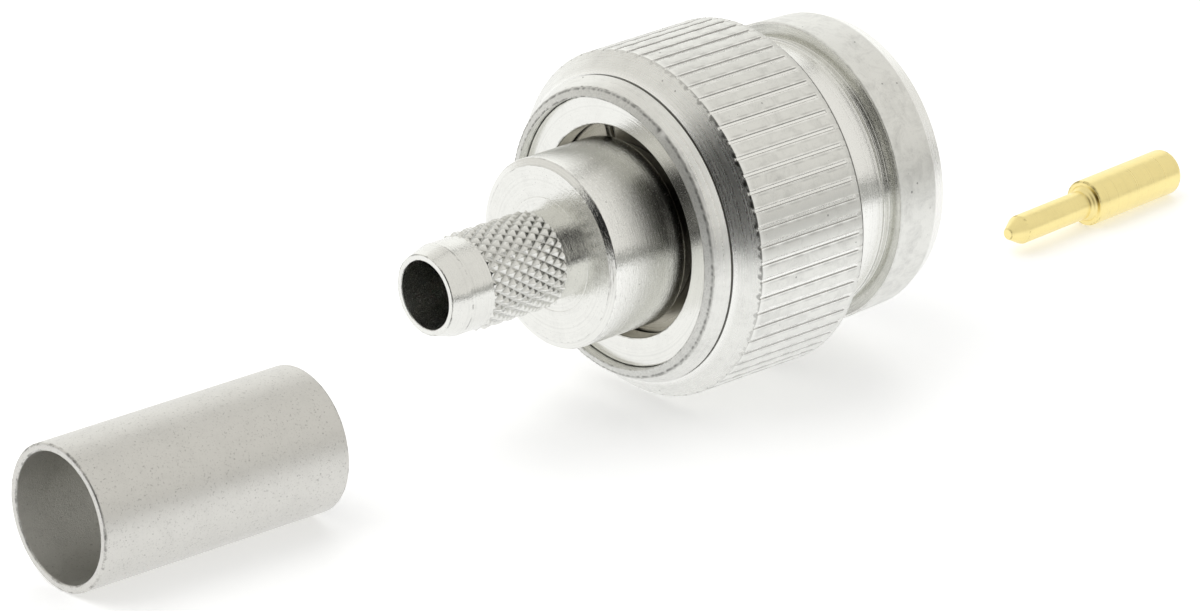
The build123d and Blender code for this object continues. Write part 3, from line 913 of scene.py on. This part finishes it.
class PLUG_OT_washer_and_ring(bpy.types.Operator):
    """Builds the flat washer in the nut's lip and the split ring behind it"""

    bl_idname = "plug.washer_and_ring"
    bl_label = "Washer and split ring"

    def execute(self, context):
        s = in_millimetres(context.scene.plug_mating)
        finish = context.scene.plug_finishes
        rear, front = stations("retaining_washer")
        radius = outer_radius("retaining_washer")
        outline = (
            (rear, s.washer_bore, 0.07),
            (rear, radius, 0.05),
            (front, radius, 0.04),
            (front, s.washer_bore, 0.04),
        )
        washer = turned("retaining_washer", plug_axis, rounded(outline), round_angles(PLAIN_COLUMNS))
        metal = plated_metal(
            "nickel_washer", finish.nickel, finish.tarnish_and_shade, roughness=0.12, turning=0.35, grain=0.2,
            specks=0.25,
        )
        dress(washer, metal, "nut", "nickel_washer", "retaining_washer")

        rear, front = stations("snap_ring")
        outline = (
            (rear, s.ring_bore, 0.08),
            (rear, s.ring_radius, 0.08),
            (front, s.ring_radius, 0.08),
            (front, s.ring_bore, 0.08),
        )
        half = s.ring_gap / 2 / s.ring_radius
        start, end = s.ring_gap_angle + half, s.ring_gap_angle - half + TURN
        points, faces, worn = turned_sector(plug_axis, rounded(outline), start, end, RING_COLUMNS)
        ring = make_mesh("snap_ring", points, faces, plain_marks(worn))
        metal = plated_metal(
            "spring_bronze", finish.bronze, finish.tarnish_and_shade, roughness=0.3, turning=0.3, grain=0.3,
            specks=0.3,
        )
        dress(ring, metal, "plug", "spring_bronze", "snap_ring")
        return {"FINISHED"}


def crimp_stem(s, mouth, knurl, neck, rear):
    """The stem with its diamond knurl: the lower of two triangle waves that run round at opposite slants."""
    outline = (
        (mouth, s.bore_radius, 0.04),
        (mouth, s.mouth_radius, 0.06),
        (mouth + s.mouth_bevel, s.stem_radius, 0.25),
        (knurl - 0.03, s.stem_radius, 0.02),
        (knurl + 0.05, s.knurl_radius, 0.03),
        (neck - 0.05, s.knurl_radius, 0.03),
        (neck + 0.03, s.neck_radius, 0.03),
        (rear + 0.3, s.neck_radius, 0.02),
        (rear + 0.3, s.bore_radius, 0.02),
    )
    rows, edge = filled(rounded(outline), spacing=0.055, start=knurl - 0.02, end=neck + 0.02)
    station, radius = rows[:, :1], rows[:, 1:]
    points_per_groove = 14
    angle = round_angles(s.knurl_count * points_per_groove)
    share = s.knurl_count * angle / TURN
    climb = (station - knurl) / s.knurl_length * s.knurl_rows / 2
    left, right = (1 - np.abs((share + way * climb) % 1 * 2 - 1) for way in (1, -1))
    height = np.clip(np.minimum(left, right) * 1.15, 0, 1)
    within = zone(rows, knurl - 0.02, FAR, s.stem_radius + 0.02)[:, None]
    mask = np.clip((radius - s.neck_radius) / (s.knurl_radius - s.neck_radius), 0, 1) * within
    ridges = np.clip(height * 3 - 2, 0, 1) * mask
    bore = radius < s.bore_radius + 0.01
    # Painted shade in the knurl's grooves, and the bore painted lighter
    marks = {
        "groove": np.clip(1 - height * 1.6, 0, 1) * mask * 0.3,
        "edge": most(edge[:, None], 0.4 * ridges),
        "matte": 0.4 * bore,
        "polish_and_highlight": 0.2 * bore,
    }
    return turned("crimp_stem", plug_axis, (rows, edge), angle, s.knurl_depth * (1 - height) * mask, marks)


def rear_body(s, rear):
    """The round rear body and what lies inside the nut: the ring's land and groove, barrel and flange."""
    land = rear + s.body_length
    groove = land + s.land_length
    barrel = groove + s.groove_length
    flange = barrel + s.barrel_length
    front = stations("plug_body")[1]
    seat = stations("insulator")[0]
    seat_radius = tail_radius + FIT_GAP
    outline = (
        (rear, s.bore_radius, 0.02),
        (rear, s.tool_mark - 0.02, 0.01),
        (rear + 0.012, s.tool_mark, 0.01),
        (rear, s.tool_mark + 0.02, 0.01),
        (rear, s.body_radius - s.body_bevel, 0.05),
        (rear + s.body_bevel_length, s.body_radius, 0.05),
        (land, s.body_radius, s.body_round),
        (land, s.land_radius, 0.005),
        (groove, s.land_radius, 0.04),
        (groove, s.groove_radius, 0.03),
        (barrel, s.groove_radius, 0.03),
        (barrel, s.barrel_radius, 0.05),
        (flange, s.barrel_radius, 0.05),
        (flange, flange_radius, 0.05),
        (front, flange_radius, 0.05),
        (front, seat_radius, 0.03),
        (seat, seat_radius, 0.03),
        (seat, s.bore_radius, 0.03),
    )
    profile = rounded(outline, steps=6)
    rows, edge = filled(profile, spacing=0.15, start=rear, end=land, above=s.body_radius - 0.01)
    bevel = zone(rows, -FAR, rear + s.body_bevel_length + 0.01, s.body_radius - s.body_bevel - 0.01)
    side = zone(rows, -FAR, land - s.body_round, s.body_radius - 0.01)
    # Painted shade on the land and ring groove inside the nut
    hidden = 0.9 * zone(rows, land, barrel, 0, s.land_radius + 0.01)[:, None]
    forward = np.clip((rows[:, 0] - rear) / (land - rear), 0, 1)
    # Painted shade on the side towards the nut, high on the camera's side and on top, and painted highlights
    # low on the camera's side towards the nut and over the rear half
    angle = round_angles(BODY_COLUMNS)
    ahead = zone(rows, -FAR, land, s.land_radius + 0.1)
    fore = (np.clip(1.5 * forward - 0.3, 0, 1) * ahead)[:, None]
    above = (np.clip(3 * forward, 0, 1) * side)[:, None] * patch(angle, 0.22, 0.4)
    rear_highlight = 0.7 * (np.clip(1 - 2 * forward, 0, 1) * side)[:, None] * (1 - above)
    marks = {
        "groove": most(hidden, 0.68 * fore * patch(angle, -1.05, 0.5), 0.4 * above),
        "matte": -0.5 * bevel,
        "polish_and_highlight": most(rear_highlight, fore * patch(angle, -2.35, 0.5)),
    }
    return turned("plug_body", plug_axis, (rows, edge), angle, 0, marks)


class PLUG_OT_plug_body(bpy.types.Operator):
    """Builds the rear body and its crimp stem with the diamond knurl"""

    bl_idname = "plug.plug_body"
    bl_label = "Plug body"

    def execute(self, context):
        s = in_millimetres(context.scene.plug_body)
        finish = context.scene.plug_finishes
        metal = plated_metal(
            "nickel_body", finish.nickel, finish.tarnish_and_shade, roughness=0.15, turning=0.45, lengthwise=0.1,
            grain=0.3, specks=0.6, density=7.0, lines=0.9,
        )
        mouth = stations("plug_body")[0]
        knurl = mouth + s.mouth_bevel + s.smooth_length
        neck = knurl + s.knurl_length
        rear = neck + s.neck_length
        for piece in (crimp_stem(s, mouth, knurl, neck, rear), rear_body(s, rear)):
            dress(piece, metal, "plug", "nickel_body", "plug_body")
        return {"FINISHED"}


class PLUG_OT_mating_end(bpy.types.Operator):
    """Builds the slotted outer contact, the insulator and the gasket"""

    bl_idname = "plug.mating_end"
    bl_label = "Mating end"

    def execute(self, context):
        s = in_millimetres(context.scene.plug_mating)
        finish = context.scene.plug_finishes
        tail, front = stations("outer_contact")
        face, fore = stations("gasket")
        cup = front - s.cup_depth
        root = front - s.slot_length
        metal = plated_metal(
            "nickel_sleeve", finish.nickel, finish.tarnish_and_shade, roughness=0.25, turning=0.4, lengthwise=0.2,
            grain=0.25, specks=0.2,
        )
        outline = (
            (tail, s.nose_radius + FIT_GAP, 0.02),
            (tail, tail_radius, 0.05),
            (face, tail_radius, 0.02),
            (face, s.sleeve_radius, 0.02),
            (root + 0.02, s.sleeve_radius, 0.01),
            (root + 0.02, s.sleeve_bore, 0.01),
            (cup, s.sleeve_bore, 0.03),
            (cup, s.nose_radius + FIT_GAP, 0.03),
        )
        foot = turned("outer_contact", plug_axis, rounded(outline), round_angles(PLAIN_COLUMNS))
        dress(foot, metal, "plug", "nickel_sleeve", "outer_contact")

        outline = (
            (root, s.sleeve_bore, 0.01),
            (root, s.sleeve_radius, 0.01),
            (front - 2 * s.bead_length, s.sleeve_radius, 0.2),
            (front - s.bead_length, outer_radius("outer_contact"), 0.2),
            (front, s.sleeve_tip, 0.08),
            (front, s.sleeve_bore, 0.06),
        )
        profile = rounded(outline)
        step = TURN / s.slot_count
        half = s.slot_width / 2 / s.sleeve_radius
        slots = TURN / 4 + np.arange(s.slot_count) * step
        fingers = [
            turned_sector(plug_axis, profile, slot + half, slot + step - half, FINGER_COLUMNS)
            for slot in slots
        ]
        points, faces, worn = zip(*fingers)
        faces = [finger + i * len(points[0]) for i, finger in enumerate(faces)]
        marks = plain_marks(np.concatenate(worn))
        spring = make_mesh("contact_fingers", np.concatenate(points), np.concatenate(faces), marks)
        dress(spring, metal, "plug", "nickel_sleeve", "outer_contact")

        rear = stations("insulator")[0]
        outline = (
            (rear, s.contact_hole, 0.08),
            (rear, tail_radius, 0.08),
            (tail, tail_radius, 0.05),
            (tail, s.nose_radius, 0.05),
            (cup, s.nose_radius, 0.1),
            (cup, s.pin_hole, 0.06),
            (cup - s.hole_web, s.pin_hole, 0.03),
            (cup - s.hole_web, s.contact_hole, 0.03),
        )
        plastic = dull_material(
            "white_insulator", finish.insulator, speck_level=0.94, grains=5.0, rings=6.0, strength=0.15,
            distance=DEPTH, Roughness=0.42, Subsurface_Weight=0.1, Subsurface_Scale=MM,
        )
        insulator = turned("insulator", plug_axis, rounded(outline), round_angles(HIDDEN_COLUMNS))
        dress(insulator, plastic, "plug", "white_insulator", "insulator")

        outline = (
            (face, s.sleeve_radius + FIT_GAP, 0.05),
            (face, flange_radius, 0.12),
            (fore, flange_radius, 0.2),
            (fore, s.sleeve_radius + FIT_GAP, 0.08),
        )
        rubber = dull_material(
            "seal_rubber", finish.rubber, speck_level=2.0, grains=7.0, rings=None, strength=0.3,
            distance=1.25 * DEPTH, Roughness=0.62,
        )
        gasket = turned("gasket", plug_axis, rounded(outline), round_angles(HIDDEN_COLUMNS))
        dress(gasket, rubber, "plug", "seal_rubber", "gasket")
        return {"FINISHED"}


class PLUG_OT_loose_pieces(bpy.types.Operator):
    """Builds the loose crimp ferrule and the loose centre contact where they lie"""

    bl_idname = "plug.loose_pieces"
    bl_label = "Ferrule and contact"

    def execute(self, context):
        s = in_millimetres(context.scene.plug_loose)
        finish = context.scene.plug_finishes
        centre = sum(extent("crimp_ferrule")) / 2
        axis = axis_frame(*centre, s.ferrule_turn)
        end, radius = s.ferrule_length / 2, centre[2]
        bore = radius - s.ferrule_wall
        outline = ((-end, bore, 0.08), (-end, radius, 0.1), (end, radius, 0.1), (end, bore, 0.08))
        rows, edge = rounded(outline, steps=6)
        metal = plated_metal(
            "nickel_ferrule", finish.ferrule_nickel, finish.tarnish_and_shade, axis, roughness=0.33, turning=0.1,
            lengthwise=0.1, grain=1.3, specks=0.25, grains=10.0,
        )
        # The bore is rougher and painted lighter
        inside = rows[:, 1] < bore + 0.02
        marks = {"matte": 0.6 * inside, "polish_and_highlight": 0.3 * inside}
        ferrule = turned("crimp_ferrule", axis, (rows, edge), round_angles(PLAIN_COLUMNS), 0, marks)
        dress(ferrule, metal, "plug", "nickel_ferrule", "crimp_ferrule")

        # The contact lies turned, so its wider end puts the middle of its box to one side of its own
        centre = sum(extent("centre_contact")) / 2
        lean = (s.barrel_radius - s.tip_radius) / 2 * abs(np.sin(s.contact_turn))
        axis = axis_frame(centre[0] - lean, centre[1], s.barrel_radius, s.contact_turn)
        end = (s.pin_length + s.barrel_length) / 2
        tip, shoulder = -end, s.pin_length - end
        foot = shoulder - s.collar_length
        depth = end - s.wire_depth
        outline = (
            (tip, 0.0, 0),
            (tip, s.tip_radius, 0.08),
            (tip + s.tip_length, s.pin_radius, 0.3),
            (foot, s.pin_radius, 0.03),
            (shoulder, s.collar_radius, 0.02),
            (shoulder + 0.01, s.barrel_radius, 0.16),
            (end, s.barrel_radius, 0.25),
            (end, s.wire_bore, 0.05),
            (depth, s.wire_bore, 0.02),
            (depth - s.wire_bore / 4, 0.0, 0),
        )
        profile = rounded(outline, closed=False, steps=6)
        rows, edge = filled(profile, spacing=0.05, start=foot - 0.1, end=shoulder + 0.05, above=s.pin_radius)
        metal = plated_metal(
            "gold_contact", finish.gold, finish.gold_stain_and_shade, axis, roughness=0.31, turning=0.3,
            lengthwise=0.05, grain=0.2, specks=0.1,
        )
        # Painted shade: two dark rings on the small cone and one in the corner at the shoulder, on the
        # camera's side only
        station, radius = rows.T
        rings = bell(station, foot + 0.02, 0.04) + bell(station, foot + 0.17, 0.035)
        corner = bell(station, shoulder, 0.03) * (radius < s.barrel_radius - 0.08)
        ring_shade = 0.85 * np.clip(rings + corner, 0, 1) * (radius > s.pin_radius - 0.01)
        angle = round_angles(CONTACT_COLUMNS)
        marks = {"groove": ring_shade[1:-1, None] * patch(angle, -1.05, 0.45)}
        contact = turned_to_axis("centre_contact", axis, (rows, edge), angle, marks)
        dress(contact, metal, "plug", "gold_contact", "centre_contact")
        return {"FINISHED"}


# Stage, in metres


def lamp(name, place, size, watts):
    """A soft square lamp that looks at the middle of the object, and doesn't show in the metal."""
    light = bpy.data.lights.new(name, "AREA")
    light.shape, light.size, light.energy = "SQUARE", size, watts
    holder = bpy.data.objects.new(name, light)
    holder.visible_glossy = False
    bpy.context.scene.collection.objects.link(holder)
    way = np.array((0, 0, axis_height * MM)) - np.array(place)
    holder.location = place
    holder.rotation_euler = (np.arctan2(np.hypot(way[0], way[1]), -way[2]), 0, np.arctan2(-way[0], way[1]))


def board(name, centre, across, upward, material):
    """A flat board of the stage, from its middle and its two sides."""
    centre, across, upward = np.array(centre), np.array(across) / 2, np.array(upward) / 2
    left, right = centre - across, centre + across
    corners = (left - upward, right - upward, right + upward, left + upward)
    mesh = bpy.data.meshes.new(name)
    mesh.from_pydata([list(corner) for corner in corners], [], [(0, 1, 2, 3)])
    mesh.materials.append(material)
    piece = bpy.data.objects.new(name, mesh)
    bpy.context.scene.collection.objects.link(piece)
    return piece


def card(name, centre, across, upward, tone):
    """A board of even tone that shows in the metal, and never in the picture or as a shadow."""
    material = new_material(
        name, Base_Color=(0, 0, 0, 1), Specular_IOR_Level=0.0, Emission_Color=opaque(tone),
        Emission_Strength=1.0,
    )[0]
    piece = board(name, centre, across, upward, material)
    piece.visible_camera = piece.visible_shadow = piece.visible_diffuse = False


def ray_kinds(tree):
    """1 for a ray from the camera or through a clear piece, and 1 for a reflected one, as two sockets."""
    path = add(tree, "LightPath").outputs
    return greatest(tree, path["Is Camera Ray"], path["Is Transmission Ray"]), path["Is Glossy Ray"]


class PLUG_OT_studio(bpy.types.Operator):
    """Sets the pale floor, the white surroundings, the soft lamps and the camera"""

    bl_idname = "plug.studio"
    bl_label = "Studio"

    def execute(self, context):
        s = context.scene.plug_studio
        finish = context.scene.plug_finishes
        scene = context.scene
        scene.view_settings.view_transform = "Standard"

        white = (1, 1, 1, 1)
        material, tree, shader, _ = new_material(
            "floor", Roughness=0.9, Specular_IOR_Level=0.1, Emission_Color=white
        )
        straight, reflected = ray_kinds(tree)
        even = mixed(tree, reflected, opaque(finish.floor), opaque(finish.floor, 0.3))
        glow = plus(tree, times(tree, straight, 0.34), times(tree, reflected, s.reflected_sky))
        feed(tree, shader.inputs, Base_Color=even, Emission_Strength=glow)
        board("floor", (0, 0, 0), (s.floor_width, 0, 0), (0, s.floor_width, 0), material)

        world = bpy.data.worlds.new("studio")
        world.use_nodes = True
        scene.world = world
        tree = world.node_tree
        tree.nodes.clear()
        straight, reflected = ray_kinds(tree)
        strength = plus(
            tree, s.sky, times(tree, straight, 1 - s.sky), times(tree, reflected, s.reflected_sky - s.sky)
        )
        tint = mixed(tree, reflected, white, (1, 0.985, 0.95, 1))
        sky = add(tree, "Background", None, Color=tint, Strength=strength)
        add(tree, "OutputWorld", None, Surface=sky.outputs[0])

        lamp("key_lamp", (-0.35, 0.25, 0.75), 0.8, 2.6)
        lamp("back_lamp", (0.45, 0.50, 0.35), 0.4, 1.0)
        black, streak = (0.02, 0.02, 0.02), (0.14, 0.14, 0.13)
        middle, bright = (0.42, 0.42, 0.4), (1.1, 1.1, 1.08)
        card("camera_card", (-0.615, -0.345, 0.47), (0.34, -0.60, 0), (0, 0, 0.94), black)
        card("left_card", (-0.7, 0.04, 0.15), (0, 0.38, 0), (0, 0, 0.30), black)
        card("far_floor_card", (-0.37, 0.03, 0.0006), (0, 0.2, 0), (-0.6, 0, 0), black)
        card("front_card", (-0.221, -0.245, 0.0006), (0.223, -0.201, 0), (-0.385, -0.428, 0), black)
        card("back_card", (0.385, 0.4975, 0.3), (0.77, -0.595, 0), (0, 0, 0.6), bright)
        card("horizon_card", (0.369, -0.473, 0.012), (0.394, 0.308, 0), (0, 0, 0.03), streak)
        card("side_floor_card", (0.206, -0.245, 0.0006), (0.19, 0.16, 0), (0.354, -0.421, 0), middle)
        card("ceiling_gap", (0.37, 0.17, 0.44), (0.5, 0, 0), (0, -0.033, 0.013), streak)

        camera = bpy.data.objects.new("camera", bpy.data.cameras.new("camera"))
        camera.data.lens = s.lens
        camera.data.sensor_width = 36
        camera.data.sensor_fit = "HORIZONTAL"
        camera.data.clip_start = 0.01
        camera.location = s.camera_place
        camera.rotation_euler = (np.pi / 2 - s.camera_down, 0, s.camera_heading - np.pi / 2)
        scene.collection.objects.link(camera)
        scene.camera = camera
        return {"FINISHED"}


# Panel and main


class PLUG_PT_panel(bpy.types.Panel):
    """Lists the pieces in the order they are built"""

    bl_label = "Crimp plug"
    bl_idname = "PLUG_PT_panel"
    bl_space_type = "VIEW_3D"
    bl_region_type = "UI"
    bl_category = "Plug"

    def draw(self, context):
        for operator in OPERATORS:
            self.layout.operator(operator.bl_idname)


SETTINGS = {
    "plug_nut": NutSizes,
    "plug_body": BodySizes,
    "plug_mating": MatingSizes,
    "plug_loose": LooseSizes,
    "plug_finishes": Finishes,
    "plug_studio": StudioSettings,
}
OPERATORS = (
    PLUG_OT_groups,
    PLUG_OT_coupling_nut,
    PLUG_OT_washer_and_ring,
    PLUG_OT_plug_body,
    PLUG_OT_mating_end,
    PLUG_OT_loose_pieces,
    PLUG_OT_studio,
)


def register():
    for cls in (*SETTINGS.values(), *OPERATORS, PLUG_PT_panel):
        bpy.utils.register_class(cls)
    for name, cls in SETTINGS.items():
        setattr(bpy.types.Scene, name, PointerProperty(type=cls))


def unregister():
    for name in SETTINGS:
        delattr(bpy.types.Scene, name)
    for cls in (PLUG_PT_panel, *reversed(OPERATORS), *reversed(SETTINGS.values())):
        bpy.utils.unregister_class(cls)


def main():
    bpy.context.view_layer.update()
    register()
    bpy.ops.plug.groups()
    bpy.ops.plug.coupling_nut()
    bpy.ops.plug.washer_and_ring()
    bpy.ops.plug.plug_body()
    bpy.ops.plug.mating_end()
    bpy.ops.plug.loose_pieces()
    bpy.ops.plug.studio()


if __name__ == "__main__":
    main()
